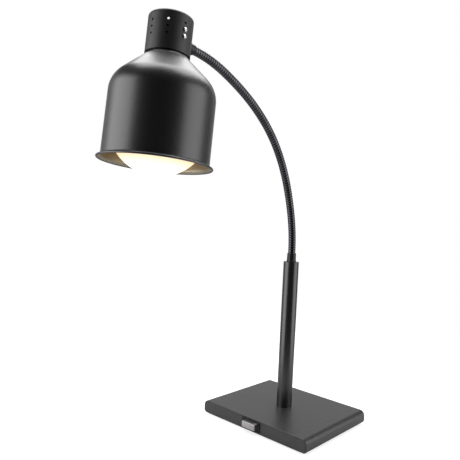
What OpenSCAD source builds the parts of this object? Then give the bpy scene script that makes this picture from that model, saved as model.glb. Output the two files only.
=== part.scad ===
// Food heat lamp: a weighted base, a straight pole, a ribbed gooseneck and a spun shade.
// Millimetres, +Z up. The origin is on the standing surface, under the middle of the base.
// The front, with the switch, faces -Y, and the gooseneck leans towards it.

/* [Base] */
// Width of the base, left to right
base_w = 246; // [225:1:270]
// Depth of the base, front to back
base_d = 200; // [185:1:225]
// Height of the base shell
base_h = 24; // [23:0.5:30]
// Thickness of the base's sheet steel
sheet = 1.5; // [1.2:0.1:1.8]
// Outer radius of the rolled top edges
roll_r = 10; // [6:0.5:10.5]
// Outer radius of the rolled bottom edges
under_r = 6; // [2.5:0.5:6.5]
// Width of the lip that the cover turns in underneath
lip = 13; // [12.5:0.5:16]
// Depth of the flange under each panel
flange = 12; // [10:0.5:13]
// Thickness of the plate that closes the base
plate_t = 1.5; // [1.2:0.1:2]
// Thickness of the steel ballast
ballast_t = 8; // [5:0.5:9]
// Free width beside the ballast
ballast_side = 13; // [8:1:30]
// Free depth in front of the ballast
ballast_front = 36; // [32:1:50]
// Free depth behind the ballast
ballast_back = 30; // [28:1:40]
// Diameter of the hole in the ballast, under the pole
ballast_hole = 40; // [36:1:50]
// Clearance between fitted sheets
fit = 0.1; // [0.05:0.01:0.15]

/* [Feet and screws] */
// Gap between the base shell and the standing surface
foot_proud = 3; // [2.5:0.5:6]
// Diameter of a rubber foot
foot_d = 16; // [12:1:20]
// Diameter of a foot's press-in stem
foot_stem = 6; // [4:0.5:7]
// Gap between a foot and the lips beside it
foot_edge = 2; // [1:0.5:6]
// Diameter of a sheet screw's head
screw_head = 6; // [5:0.5:7]
// Height of a sheet screw's head
screw_head_h = 1.6; // [1.2:0.1:2]
// Diameter of a sheet screw's shank
screw_shank = 2.9; // [2.5:0.1:3.5]
// Distance of the outer lip screws from the middle
lip_screw_y = 60; // [40:1:65]
// Distance of the flange screws from the middle
flange_screw_x = 70; // [60:1:80]
// Diameter of a ballast screw's shank
ballast_screw = 5; // [4:0.5:6]

/* [Switch] */
// Width of the black bezel on the front panel
bezel_w = 42; // [40:1:46]
// Height of the black bezel
bezel_h = 19; // [18:0.5:20]
// How far the bezel stands proud
bezel_t = 2; // [1.5:0.1:2.5]
// Width of the switch body behind the panel
switch_w = 30; // [29:0.5:31]
// Height of the switch body behind the panel
switch_h = 13; // [12.5:0.5:14]
// Depth of the switch body behind the panel
switch_depth = 20; // [18:1:26]
// Length of the rocker
rocker_w = 26; // [24:0.5:26]
// Height of the rocker
rocker_h = 10.4; // [9:0.1:10.6]
// Diameter of the rocker's pivot pin
pivot_d = 2.4; // [2:0.1:2.6]
// Tilt of the rocker each side of its middle
rocker_tilt = 10; // [6:1:10]
// How far the clear cover stands proud of the panel
boot_proud = 9; // [8.5:0.5:12]
// Width of the clear cover's front
boot_w = 31; // [30:0.5:33]
// Height of the clear cover's front
boot_h = 12; // [11.8:0.1:13]
// Wall of the clear cover
boot_t = 0.8; // [0.5:0.1:0.9]

/* [Cable inlet] */
// Distance of the gland to the left of the middle, seen from the front
gland_x = 90; // [86:1:95]
// Diameter of the gland's thread
gland_d = 12; // [11:0.5:13]
// Diameter of the gland's cable bore
gland_bore = 6.8; // [5:0.2:8]
// Thickness of the gland's hexagon flange
gland_hex_t = 4; // [3:0.5:5]
// Length of thread outside the hexagon
gland_out = 8; // [6:0.5:12]
// Length of thread inside the back panel
gland_in = 6; // [5:0.5:9]
// Place of the middle terminal, right of the middle
block_x = 40; // [30:1:60]
// Distance between two terminals
block_pitch = 10; // [9:0.5:12]

/* [Pole] */
// Diameter of the pole
pole_d = 30; // [27:0.5:34]
// Wall of the pole
pole_wall = 1.5; // [1:0.1:2]
// Length of the pole above the base
pole_len = 286; // [200:2:360]
// Diameter of the threaded stem under the pole
stem_d = 12; // [10:0.5:13]
// Height of the plug in the foot of the pole
plug_h = 18; // [10:1:40]
// Height of the plug in the top of the pole
top_plug_h = 13; // [12:0.5:40]
// Thickness of the stiffening plate under the cover
stiff_t = 2.5; // [2:0.1:3]
// Width of the stiffening plate
stiff_w = 80; // [50:1:100]
// Thickness of the pole's washer
washer_t = 1.6; // [1:0.1:2]
// Height of the pole's nut
nut_h = 6.5; // [5:0.5:7]
// Diameter of the two-core cable in the pole
cable_d = 4; // [3:0.1:4.4]

/* [Gooseneck] */
// Diameter over the ribs
neck_d = 14.5; // [14:0.1:15]
// Depth of the groove between two ribs
rib_depth = 0.65; // [0.4:0.05:0.7]
// Distance from rib to rib
rib_pitch = 4.8; // [4:0.1:5]
// Length of the curved neck
neck_len = 466.5; // [420:0.5:520]
// Bend of each section but the last, in degrees
neck_bends = [13, 9, 13, 15, 11, 8];
// Straight stretch of hose over the lower ferrule
neck_straight = 3; // [1:0.5:10]
// Diameter of the links inside the hose
core_d = 10.4; // [10:0.1:10.4]
// Bore of the links
core_bore = 4.6; // [4.4:0.1:5]
// Diameter of a link's ball
ball_d = 8; // [7.4:0.1:8.2]
// Gap between a ball and its socket
ball_gap = 0.3; // [0.2:0.05:0.4]
// Half of the gap between two sections
joint_gap = 1.5; // [1.4:0.05:1.6]
// Diameter of the ferrule at its foot
ferrule_d = 18.6; // [17.5:0.1:22]
// Narrowing of a ferrule from its foot to its mouth
ferrule_taper = 1.6; // [0:0.1:2]
// Height of the lower ferrule
ferrule_h = 17; // [14:0.5:24]
// Length of the upper ferrule
upper_h = 14; // [13:0.5:20]
// Depth of hose held in a ferrule
hose_in = 10; // [6:0.5:11]
// Diameter of the ferrules' threaded stems
thread_d = 10; // [9:0.5:11]
// Clearance of the hose in a ferrule
hose_fit = 0.1; // [0.05:0.01:0.2]

/* [Shade] */
// Tilt of the head, its mouth turned forward
head_tilt = 5; // [0:0.5:15]
// Outer diameter of the rolled rim
rim_d = 170.8; // [168:0.2:176]
// Diameter of the shade above the rim
shade_d = 158.6; // [154:0.2:160]
// Narrowing of the shade's wall up to the shoulder
shade_taper = 1.2; // [0:0.2:6]
// Wall of the shade
shade_t = 1; // [0.7:0.1:1.2]
// Diameter of the bead rolled round the rim
bead_d = 3; // [2.4:0.1:3.6]
// Height of the shoulder's start
shoulder_z = 98; // [85:1:100]
// Outer radius of the shoulder
shoulder_r = 41; // [38:1:44]
// Slope of the cone over the shoulder, from upright
cone_angle = 48; // [44:1:50]
// Diameter of the shade's neck
shade_neck_d = 63.6; // [62:0.2:64]
// Radius of the hollow between cone and neck
hollow_r = 10; // [6:0.5:11]

/* [Cap] */
// Diameter of the cap
cap_d = 67.2; // [66.6:0.2:72]
// Wall of the cap
cap_t = 1; // [0.7:0.1:1]
// Height of the cap's lower edge over the rim
cap_z = 161; // [159:0.5:163]
// Height of the cap
cap_h = 57.5; // [54:0.5:75]
// Radius of the cap's upper edge
cap_edge = 4; // [2:0.5:8]
// Diameter of the outlet in the cap's top
outlet_d = 22; // [12:1:34]
// Diameter of a vent hole
vent_d = 3.6; // [3:0.1:4]
// Number of vent columns around the cap
vent_columns = 8; // [8:4:8]
// Height of the lowest vents over the rim
vent_z = 183.7; // [183.5:0.1:187]
// Distance between two vents in a column
vent_pitch = 9.9; // [9:0.1:11]
// Height of the neck's entry over the rim
entry_z = 188; // [187:0.5:192]
// Diameter of the two bright screws' heads
pan_head = 6.4; // [5:0.1:7]
// Diameter of the two bright screws' shanks
pan_shank = 3.5; // [3:0.1:4]

/* [Lampholder] */
// Height of the holder's lower edge over the rim
holder_z = 128; // [126:0.5:130]
// Height of the holder's seat for the shade
seat_z = 171; // [169:0.5:172]
// Height of the holder's top
holder_top = 178; // [176:0.5:178]
// Diameter of the holder's skirt
skirt_d = 45; // [42:0.5:48]
// Diameter of the holder's shoulder
holder_d = 51; // [50:0.5:56]
// Bore of the holder
holder_bore = 28.4; // [28.2:0.1:30]
// Height of the ring that holds the shade
ring_h = 6; // [4:0.5:9]
// Width of the ring's wall
ring_w = 6; // [4:0.5:8]
// Thickness of the bracket
bracket_t = 1.5; // [1.2:0.1:2]
// Width of the bracket
bracket_w = 12; // [10:0.5:12]

/* [Bulb] */
// Diameter of the reflector bulb
bulb_d = 125; // [110:1:130]
// Drop of the bulb's face below the rim
bulb_drop = 16; // [8:1:24]
// Height of the bulb's face, up to its widest
bulb_face = 42; // [38:1:46]
// Radius of the bulb's front corner
bulb_corner = 26; // [20:1:28]
// Wall of the glass
glass_t = 1; // [0.8:0.1:1.4]
// Diameter of the bulb's neck
bulb_neck = 38; // [34:1:40]
// Height of the bulb's neck over the rim
bulb_neck_z = 108; // [100:1:112]
// Diameter of the screw base
base_screw_d = 26.1; // [25.8:0.1:26.4]
// Pitch of the screw base
base_pitch = 3.63; // [3.4:0.01:3.8]
// Turns on the screw base
base_turns = 6; // [4:1:6]

/* [Hidden] */
$fn = 64;

eps = 0.01;
// Overlap that makes a cut run clean through
cut = 1;

// Heights in the base
shell_z = foot_proud;
plate_z = shell_z + sheet;
floor_z = plate_z + plate_t;
ballast_z = floor_z + ballast_t;
top_z = shell_z + base_h;
under_z = top_z - sheet;
mid_z = shell_z + base_h / 2;
half_w = base_w / 2;
half_d = base_d / 2;
panel_in = half_d - sheet;

// Ballast
ballast_x = half_w - ballast_side;
ballast_y0 = -half_d + ballast_front;
ballast_y1 = half_d - ballast_back;
ballast_screw_in = 12;

// Feet and sheet screws
foot_x = half_w - lip - foot_edge - foot_d / 2;
foot_y = half_d - flange - foot_edge - foot_d / 2;
lip_screw_x = half_w - (lip + under_r) / 2;
flange_screw_y = half_d - sheet - (flange - sheet) / 2;

// Switch
boot_foot_w = bezel_w - 5;
boot_foot_h = bezel_h - 3;
bezel_floor = 0.8;
switch_wall = 0.8;
pivot_y = 2;
pivot_fit = 0.06;
panel_fit = 0.2;
tab_w = 4.8;
tab_t = 0.8;
tab_len = 7;
tab_x = 8;

// Terminal block and wires
block_y = half_d - ballast_back / 2 - 1;
block_d = 15;
block_h = 11;
clamp_d = 5.4;
wire_d = 2;
wire_z = ballast_z + 3.5;
wire_drop = half_d - ballast_back + 2;
// Height at which one wire crosses over the other, and at which both meet the pole's cable
over_z = wire_z + 3;
cable_z = under_z - stiff_t - washer_t - nut_h - 6.1;
clamp_z = floor_z + block_h / 2;
earth_x = block_x + 3 * block_pitch;

// Pole
pole_top = top_z + pole_len;
pole_bore = pole_d - 2 * pole_wall;
stem_z = under_z - stiff_t - washer_t - nut_h - 1;
stem_bore = cable_d + 2.4;

// Gooseneck
sections = 7;
sec = neck_len / sections;
last_bend = 90 - head_tilt - heading(sections - 1);
neck_z = pole_top + ferrule_h + neck_straight;
hose_sides = 8;
groove_d = neck_d - 2 * rib_depth;
// A little wider than the bore of the links, so that it ends inside them
ball_bore = core_bore + 0.4;
hose_bore = (core_d + 2 * fit) / cos(180 / hose_sides);

// Head, from the end of the neck
neck_end = start_point(sections);
head_y = neck_end[0] + (upper_h + cap_d / 2) * cos(head_tilt) + entry_z * sin(head_tilt);
head_z = neck_end[1] + (upper_h + cap_d / 2) * sin(head_tilt) - entry_z * cos(head_tilt);
cap_in = cap_d / 2 - cap_t;
cap_top = cap_z + cap_h;
thread_fit = 0.05;
stem_in = 10;
washer_in = 2.6;
ferrule_nut_t = 3.2;

// Shade
wall_r0 = shade_d / 2;
wall_r1 = (shade_d - shade_taper) / 2;
neck_r = shade_neck_d / 2;
cone_r0 = wall_r1 - shoulder_r * (1 - cos(cone_angle));
cone_z0 = shoulder_z + shoulder_r * sin(cone_angle);
cone_r1 = neck_r + hollow_r * (1 - cos(cone_angle));
cone_z1 = cone_z0 + (cone_r0 - cone_r1) / tan(cone_angle);
hollow_z = cone_z1 + hollow_r * sin(cone_angle);
flare_r = rim_d / 2 - bead_d / 2 - wall_r0;

// Lampholder and bulb
shelf_z = holder_top;
leg_x = sqrt(pow(cap_in, 2) - pow(bracket_w / 2, 2)) - fit;
shelf_x = holder_d / 2 - 4;
holder_screw_x = 15;
shell_t = 0.5;
shell_gap = 0.25;
bulb_wide = bulb_face - bulb_drop;
bulb_r = bulb_d / 2;
face_r = (pow(bulb_r - bulb_corner, 2) + pow(bulb_face, 2) - pow(bulb_corner, 2))
    / (2 * (bulb_face - bulb_corner));
face_end = atan2(bulb_r - bulb_corner, face_r - bulb_face);
base_z = holder_z + 3;
base_len = base_turns * base_pitch;
contact_z = base_z + base_len + 4;
tip_z = contact_z + 1;
socket_z = tip_z + 3.2;
glass_end = base_z + 2;
glass_seat = base_screw_d / 2 - 1;
wire_hole_y = 14;

function arc(x, y, r, a0, a1, n) =
    [for (i = [0:n]) let (a = a0 + (a1 - a0) * i / n) [x + r * cos(a), y + r * sin(a)]];
function unit(v) = v / norm(v);
// Side directions along a wire, carried on from point to point without a twist
function sides(way, i) = i == 0 ? [unit(cross(way[0], abs(way[0][2]) < 0.9 ? [0, 0, 1] : [1, 0, 0]))]
    : let (list = sides(way, i - 1), u = list[i - 1]) concat(list, [unit(u - (u * way[i]) * way[i])]);
function turned(list) = [for (i = [len(list) - 1:-1:0]) list[i]];
function mirrored(list) = [for (p = turned(list)) [-p[0], p[1]]];

// Right half of the cover's section, drawn a depth o inside its outer face
function cover_half(o) = concat(
    [[half_w - lip, o]],
    arc(half_w - under_r, under_r, under_r - o, -90, 0, 6),
    arc(half_w - roll_r, base_h - roll_r, roll_r - o, 0, 90, 12));
function cover_line(o) = concat(cover_half(o), mirrored(cover_half(o)));
// Outline inside the cover, that a panel fills
function panel_line(o) = concat(
    arc(half_w - under_r, under_r, max(under_r - o, 0.4), -90, 0, 6),
    arc(half_w - roll_r, base_h - roll_r, roll_r - o, 0, 90, 12));

// Gooseneck: section k starts at start_point(k), as reach and height, with this heading
function bend(k) = k < sections - 1 ? neck_bends[k] : last_bend;
function heading(k) = k == 0 ? 0 : heading(k - 1) + bend(k - 1);
function bend_r(k) = sec / (bend(k) * PI / 180);
function start_point(k) = k == 0 ? [0, neck_z] : let (
    p = start_point(k - 1), a = heading(k - 1), r = bend_r(k - 1), b = bend(k - 1),
    f = r * (1 - cos(b)), u = r * sin(b))
    [p[0] + f * cos(a) + u * sin(a), p[1] - f * sin(a) + u * cos(a)];
// Centre and heading on a section at arc length s, straight beyond its two ends
function on_arc(k, s) = let (
    c = min(max(s, 0), sec), e = s - c, a = bend(k) * c / sec, r = bend_r(k))
    [-r * (1 - cos(a)) - e * sin(a), r * sin(a) + e * cos(a), a];
function hose_ring(k, s, d) = let (c = on_arc(k, s))
    [for (j = [0:hose_sides - 1]) let (w = (j + 0.5) * 360 / hose_sides,
        x = cos(w) * d / 2, n = sin(w) * d / 2)
        [x, c[0] + n * cos(c[2]), c[1] + n * sin(c[2])]];
// Stretch of hose on a section, from its start to its end
function hose_from(k) = k == 0 ? -neck_straight - hose_in : joint_gap;
function hose_to(k) = k == sections - 1 ? sec + hose_in : sec - joint_gap;
function ribs(k) = floor((hose_to(k) - hose_from(k)) / rib_pitch);
function quad(a, b, c, d) = [[a, b, c], [a, c, d]];
function band(p, q, n) = [for (j = [0:n - 1]) each
    quad(p + j, p + (j + 1) % n, q + (j + 1) % n, q + j)];

function shade_line(o) = concat(
    arc(rim_d / 2 - bead_d / 2, (bead_d + shade_t) / 2 + flare_r, flare_r + o, 270, 180, 10),
    arc(wall_r1 - shoulder_r, shoulder_z, shoulder_r - o, 0, cone_angle, 16),
    arc(neck_r + hollow_r, hollow_z, hollow_r + o, 180 + cone_angle, 180, 10));

// Bulb: half section of the envelope, a depth o inside its outer face
function bulb_line(o) = concat(
    [for (i = [0:12]) let (a = face_end * i / 12)
        [(face_r - o) * sin(a), face_r - bulb_drop - (face_r - o) * cos(a)]],
    [for (i = [1:8]) let (a = face_end + (90 - face_end) * i / 8)
        [bulb_r - bulb_corner + (bulb_corner - o) * sin(a), bulb_wide - (bulb_corner - o) * cos(a)]],
    [for (i = [1:14]) let (u = i / 14, w = (1 - cos(180 * pow(u, 0.9))) / 2)
        [bulb_r - (bulb_r - bulb_neck / 2) * w - o, bulb_wide + (bulb_neck_z - bulb_wide) * u]],
    [[bulb_neck / 2 - o, bulb_neck_z + 8], [glass_seat - o, base_z - 1], [glass_seat - o, glass_end]]);

module at_front() { translate([0, -half_d, mid_z]) children(); }
module at_head() { translate([0, -head_y, head_z]) rotate([-head_tilt, 0, 0]) children(); }
module at_section(k) {
    p = start_point(k);
    translate([0, -p[0], p[1]]) rotate([heading(k), 0, 0]) children();
}
module rod(d, z0, z1) { translate([0, 0, z0]) cylinder(d = d, h = z1 - z0); }
module tube(d, bore, z0, z1) {
    difference() {
        rod(d, z0, z1);
        rod(bore, z0 - cut, z1 + cut);
    }
}
module hexagon(across, bore, z0, z1) {
    difference() {
        translate([0, 0, z0]) cylinder(d = across / cos(30), h = z1 - z0, $fn = 6);
        rod(bore, z0 - cut, z1 + cut);
    }
}
module block(x0, x1, y0, y1, z0, z1) {
    translate([x0, y0, z0]) cube([x1 - x0, y1 - y0, z1 - z0]);
}
// Wire through a list of points, an eight-sided tube mitred at its bends
module wire(points, d) {
    last = len(points) - 1;
    way = [for (i = [0:last]) unit(unit(points[min(i + 1, last)] - points[min(i, last - 1)])
        + unit(points[max(i, 1)] - points[max(i - 1, 0)]))];
    side = sides(way, last);
    n = 8;
    rings = [for (i = [0:last]) let (u = side[i], v = cross(way[i], u)) each
        [for (j = [0:n - 1]) points[i] + d / 2 * (u * cos(j * 360 / n) + v * sin(j * 360 / n))]];
    polyhedron(points = rings, faces = concat([[for (j = [0:n - 1]) j]],
        [for (i = [0:last - 1]) each band((i + 1) * n, i * n, n)],
        [[for (j = [n - 1:-1:0]) last * n + j]]));
}
// Box that narrows from a foot at y = 0 to a front at y = -len
module taper_box(w0, h0, w1, h1, len) {
    polyhedron(
        points = [[-w0 / 2, 0, -h0 / 2], [w0 / 2, 0, -h0 / 2], [w0 / 2, 0, h0 / 2], [-w0 / 2, 0, h0 / 2],
            [-w1 / 2, -len, -h1 / 2], [w1 / 2, -len, -h1 / 2], [w1 / 2, -len, h1 / 2], [-w1 / 2, -len, h1 / 2]],
        faces = [[0, 1, 2, 3], [7, 6, 5, 4], [4, 5, 1, 0], [5, 6, 2, 1], [6, 7, 3, 2], [7, 4, 0, 3]]);
}
module at_lip_screws() {
    for (x = [-1, 1], y = [-1, 0, 1]) translate([x * lip_screw_x, y * lip_screw_y, 0]) children();
}
module at_flange_screws(y) {
    for (x = [-1, 1]) translate([x * flange_screw_x, y * flange_screw_y, 0]) children();
}
module at_feet() {
    for (x = [-1, 1], y = [-1, 1]) translate([x * foot_x, y * foot_y, 0]) children();
}
module at_ballast_screws() {
    for (x = [-1, 1], y = [ballast_y0 + ballast_screw_in, ballast_y1 - ballast_screw_in])
        translate([x * (ballast_x - ballast_screw_in), y, 0]) children();
}
module screw_hole(d) { rod(d, shell_z - cut, floor_z + cut); }

// Base
module base_cover() {
    color("#3a3a3c") difference() {
        translate([0, half_d, shell_z]) rotate([90, 0, 0]) linear_extrude(base_d)
            polygon(concat(cover_line(0), turned(cover_line(sheet))));
        rod(stem_d + 2 * panel_fit, under_z - cut, top_z + cut);
        at_lip_screws() screw_hole(screw_shank + 2 * fit);
    }
}

module panel(y) {
    outline = panel_line(sheet + fit);
    translate([0, y > 0 ? half_d : -half_d + sheet, shell_z]) rotate([90, 0, 0])
        linear_extrude(sheet) {
            polygon(concat(outline, mirrored(outline)));
            translate([-half_w + lip + fit, 0]) square([base_w - 2 * lip - 2 * fit, base_h / 2]);
        }
    y0 = y > 0 ? half_d - flange : -half_d;
    block(-half_w + lip + fit, half_w - lip - fit, y0, y0 + flange, shell_z, plate_z);
}

module front_panel() {
    color("#333335") difference() {
        panel(-1);
        at_front() block(-switch_w / 2 - fit, switch_w / 2 + fit, -cut, sheet + cut,
            -switch_h / 2 - fit, switch_h / 2 + fit);
        at_flange_screws(-1) screw_hole(screw_shank + 2 * fit);
    }
}

module back_panel() {
    color("#333335") difference() {
        panel(1);
        translate([-gland_x, panel_in - cut, mid_z]) rotate([-90, 0, 0])
            rod(gland_d + 2 * fit, 0, sheet + 2 * cut);
        at_flange_screws(1) screw_hole(screw_shank + 2 * fit);
    }
}

module bottom_plate() {
    x = half_w - under_r - fit;
    y = panel_in - fit;
    color("#55565a") difference() {
        block(-x, x, -y, y, plate_z, floor_z);
        at_lip_screws() screw_hole(screw_shank + fit);
        at_flange_screws(-1) screw_hole(screw_shank + fit);
        at_flange_screws(1) screw_hole(screw_shank + fit);
        at_feet() screw_hole(foot_stem + 2 * fit);
        at_ballast_screws() screw_hole(ballast_screw + 2 * fit);
        translate([earth_x, block_y, 0]) screw_hole(screw_shank + fit);
    }
}

module ballast_plate() {
    color("#6a6c70") difference() {
        block(-ballast_x, ballast_x, ballast_y0, ballast_y1, floor_z, ballast_z);
        rod(ballast_hole, floor_z - cut, ballast_z + cut);
        at_ballast_screws() rod(ballast_screw + fit, floor_z - cut, ballast_z + cut);
    }
}

module ballast_screws() {
    color("#a8a9ab") at_ballast_screws() {
        rod(ballast_screw, plate_z - eps, ballast_z - 1);
        rod(ballast_screw * 1.8, plate_z - 2, plate_z);
    }
}

module sheet_screw() {
    rod(screw_shank, shell_z - eps, floor_z + 1);
    difference() {
        rod(screw_head, shell_z - screw_head_h, shell_z);
        block(-screw_head / 4, screw_head / 4, -0.4, 0.4, shell_z - cut - screw_head_h, shell_z - 0.8);
        block(-0.4, 0.4, -screw_head / 4, screw_head / 4, shell_z - cut - screw_head_h, shell_z - 0.8);
    }
}

module cover_screws() {
    color("#a8a9ab") {
        at_lip_screws() sheet_screw();
        at_flange_screws(-1) sheet_screw();
        at_flange_screws(1) sheet_screw();
    }
}

// Four feet pushed through the plate, and a pad glued under its middle
module rubber_feet() {
    color("#1c1c1d") {
        at_feet() {
            rod(foot_d, 0, plate_z);
            rod(foot_stem, plate_z - eps, floor_z + eps);
            translate([0, 0, floor_z]) cylinder(d1 = foot_stem + 2.4, d2 = foot_stem - 1, h = 3.5);
        }
        rod(foot_d, 0, plate_z);
    }
}

// Switch
module switch_body() {
    cavity_w = switch_w - 2 * switch_wall;
    cavity_h = switch_h - 2 * switch_wall;
    color("#1a1a1b") at_front() difference() {
        union() {
            block(-bezel_w / 2, bezel_w / 2, -bezel_t, 0, -bezel_h / 2, bezel_h / 2);
            block(-switch_w / 2, switch_w / 2, -eps, switch_depth, -switch_h / 2, switch_h / 2);
        }
        block(-boot_foot_w / 2 - fit, boot_foot_w / 2 + fit, -bezel_t - cut, -bezel_floor,
            -boot_foot_h / 2 - fit, boot_foot_h / 2 + fit);
        block(-cavity_w / 2, cavity_w / 2, -bezel_t - cut, pivot_y + 6.6, -cavity_h / 2, cavity_h / 2);
        translate([0, pivot_y, 0]) rod(pivot_d + 2 * pivot_fit, -switch_h / 2 - cut, switch_h / 2 + cut);
    }
}

module switch_terminals() {
    color("#c9b26a") at_front() for (x = [-tab_x, tab_x])
        block(x - tab_t / 2, x + tab_t / 2, switch_depth, switch_depth + tab_len, -tab_w / 2, tab_w / 2);
}

module switch_cover() {
    in_len = boot_proud - bezel_floor - boot_t;
    color("#b9bbbe", 0.5) at_front() translate([0, -bezel_floor, 0]) difference() {
        taper_box(boot_foot_w, boot_foot_h, boot_w, boot_h, boot_proud - bezel_floor);
        translate([0, eps, 0]) taper_box(boot_foot_w - 2 * boot_t, boot_foot_h - 2 * boot_t,
            boot_w - 2 * boot_t, boot_h - 1.2 * boot_t, in_len);
    }
}

module switch_rocker() {
    w = rocker_w / 2;
    color("#c8c9cb") at_front() translate([0, pivot_y, 0]) rotate([0, 0, rocker_tilt]) {
        translate([0, 0, -rocker_h / 2]) linear_extrude(rocker_h)
            polygon([[-w, -7.2], [-w * 0.5, -6.2], [0, -5.6], [w * 0.5, -6.2], [w, -7.2],
                [w - 1, 1.8], [0, 3.4], [1 - w, 1.8]]);
        rod(pivot_d, -switch_h / 2, switch_h / 2);
    }
}

// Terminals, inlet and wires in the base
module terminal_block() {
    w = 3 * block_pitch;
    color("#e6e2d6") difference() {
        block(block_x - w / 2, block_x + w / 2, block_y - block_d / 2, block_y + block_d / 2,
            floor_z, floor_z + block_h);
        for (i = [-1:1]) translate([block_x + i * block_pitch, block_y, clamp_z]) {
            rotate([90, 0, 0]) rod(clamp_d + fit, -block_d, block_d);
            for (y = [-1, 1]) translate([0, y * block_d / 4, 0]) rod(3.2 + fit, 0, block_h);
        }
    }
}

module terminal_clamps() {
    color("#c9a94e") for (i = [-1:1]) translate([block_x + i * block_pitch, block_y, clamp_z]) {
        rotate([90, 0, 0]) tube(clamp_d, wire_d + 0.8, -block_d / 2 + 0.5, block_d / 2 - 0.5);
        for (y = [-1, 1]) translate([0, y * block_d / 4, 0]) rod(3, clamp_d / 2 - 1, block_h / 2 - 0.6);
    }
}

module cable_gland() {
    color("#202021") translate([-gland_x, half_d, mid_z]) rotate([-90, 0, 0]) difference() {
        union() {
            rod(gland_d, -sheet - gland_in, gland_hex_t + gland_out);
            translate([0, 0, 0]) cylinder(d = 17 / cos(30), h = gland_hex_t, $fn = 6);
        }
        rod(gland_bore, -sheet - gland_in - cut, gland_hex_t + gland_out + cut);
    }
}

module gland_cap() {
    cap_len = gland_out + 4;
    cap_hole = gland_bore + 3.2;
    color("#202021") translate([-gland_x, half_d + gland_hex_t, mid_z]) rotate([-90, 0, 0])
        difference() {
            union() {
                rod(gland_d + 5, 0, cap_len - 3);
                translate([0, 0, cap_len - 3 - eps])
                    cylinder(d1 = gland_d + 5, d2 = cap_hole + 2.6, h = 3);
            }
            rod(gland_d + 2 * thread_fit, -cut, gland_out + 0.5);
            rod(cap_hole, 0, cap_len + cut);
        }
}

module gland_nut() {
    color("#202021") translate([-gland_x, panel_in, mid_z]) rotate([90, 0, 0])
        hexagon(17, gland_d + 2 * thread_fit, 0, 4);
}

// Route from a terminal up over the ballast to a point at the same height
function over_ballast(x) = [[x, block_y - block_d / 2, clamp_z], [x, wire_drop, clamp_z],
    [x, wire_drop, wire_z]];

module live_wires() {
    tab_y = -half_d + switch_depth + tab_len + 0.3;
    x = block_x - block_pitch;
    color("#7a4a2c") {
        wire(concat(over_ballast(x), [[x, tab_y + 14, wire_z], [tab_x, tab_y + 6, mid_z],
            [tab_x, tab_y, mid_z]]), wire_d);
        wire([[-tab_x, tab_y, mid_z], [-tab_x, tab_y + 8, wire_z], [-tab_x, -14, wire_z],
            [-tab_x / 2, -13, cable_z], [-1.3, -1, cable_z]], wire_d);
    }
}

module neutral_wire() {
    color("#3f6fae") wire(concat(over_ballast(block_x), [[block_x, 20, over_z],
        [16, 14, over_z], [11, 11, wire_z], [7, 10, cable_z], [1.3, 1, cable_z]]), wire_d);
}

module earth_wire() {
    x = block_x + block_pitch;
    color("#8aa63a") wire([[x, block_y + block_d / 2, clamp_z], [x, block_y + block_d / 2 + 2.5, clamp_z],
        [x, block_y + block_d / 2 + 2.5, floor_z + 3], [earth_x - 4, block_y + 6, floor_z + 1.4],
        [earth_x - 2.6, block_y + 2.8, floor_z + 1.4]], 1.6);
}

module earth_screw() {
    color("#c8a850") translate([earth_x, block_y, 0]) {
        rod(screw_shank, plate_z - 1, floor_z + 3);
        rod(7.4, floor_z, floor_z + 0.6);
        rod(screw_head, floor_z + 0.6, floor_z + 2.8);
    }
}

// Pole
module pole() { color("#17171a") tube(pole_d, pole_bore, top_z, pole_top); }

module pole_foot() {
    color("#8f9194") difference() {
        union() {
            rod(pole_bore - 2 * fit, top_z, top_z + plug_h);
            rod(stem_d, stem_z, top_z + eps);
        }
        rod(stem_bore, stem_z - cut, top_z + plug_h + cut);
    }
}

module pole_stiffener() {
    color("#6a6c70") difference() {
        block(-stiff_w / 2, stiff_w / 2, -stiff_w * 3 / 8, stiff_w * 3 / 8, under_z - stiff_t, under_z);
        rod(stem_d + 2 * fit, under_z - stiff_t - cut, under_z + cut);
    }
}

module pole_washer() {
    color("#a8a9ab") tube(stem_d * 2, stem_d + 2 * fit, under_z - stiff_t - washer_t, under_z - stiff_t);
}

module pole_nut() {
    z = under_z - stiff_t - washer_t;
    color("#a8a9ab") hexagon(stem_d * 1.5, stem_d + 2 * thread_fit, z - nut_h, z);
}

module pole_top_plug() {
    color("#1b1b1e") tube(pole_bore - 2 * fit, thread_d + 2 * thread_fit, pole_top - top_plug_h, pole_top);
}

module pole_cable() { color("#d8d6d0") rod(cable_d, stem_z - 4, pole_top + ferrule_h - hose_in - 0.5); }

// Ferrule with its foot at z = 0, its mouth up and its threaded stem below
module ferrule(len, stem) {
    difference() {
        union() {
            cylinder(d1 = ferrule_d, d2 = ferrule_d - ferrule_taper, h = len);
            rod(thread_d, -stem, eps);
        }
        rod(neck_d + 2 * hose_fit, len - hose_in, len + cut);
        rod(stem_bore, -stem - cut, len);
    }
}

module lower_ferrule() { color("#202023") translate([0, 0, pole_top]) ferrule(ferrule_h, top_plug_h - 2); }

// Gooseneck: a ribbed hose over a chain of ball links, one of each in a section
module neck_hose(k) {
    rings = 2 * ribs(k) + 1;
    step = (hose_to(k) - hose_from(k)) / (rings - 1);
    inner = 6;
    in_step = (hose_to(k) - hose_from(k)) / inner;
    n = hose_sides;
    points = concat(
        [for (i = [0:rings - 1]) each hose_ring(k, hose_from(k) + i * step, i % 2 == 0 ? groove_d : neck_d)],
        [for (i = [0:inner]) each hose_ring(k, hose_from(k) + i * in_step, hose_bore)]);
    last = (rings - 1) * n;
    bore = rings * n;
    faces = concat(
        [for (i = [0:rings - 2]) each band((i + 1) * n, i * n, n)],
        [for (i = [0:inner - 1]) each band(bore + i * n, bore + (i + 1) * n, n)],
        band(0, bore, n),
        band(bore + inner * n, last, n));
    color("#2a2a2d") at_section(k) polyhedron(points = points, faces = faces);
}

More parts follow.
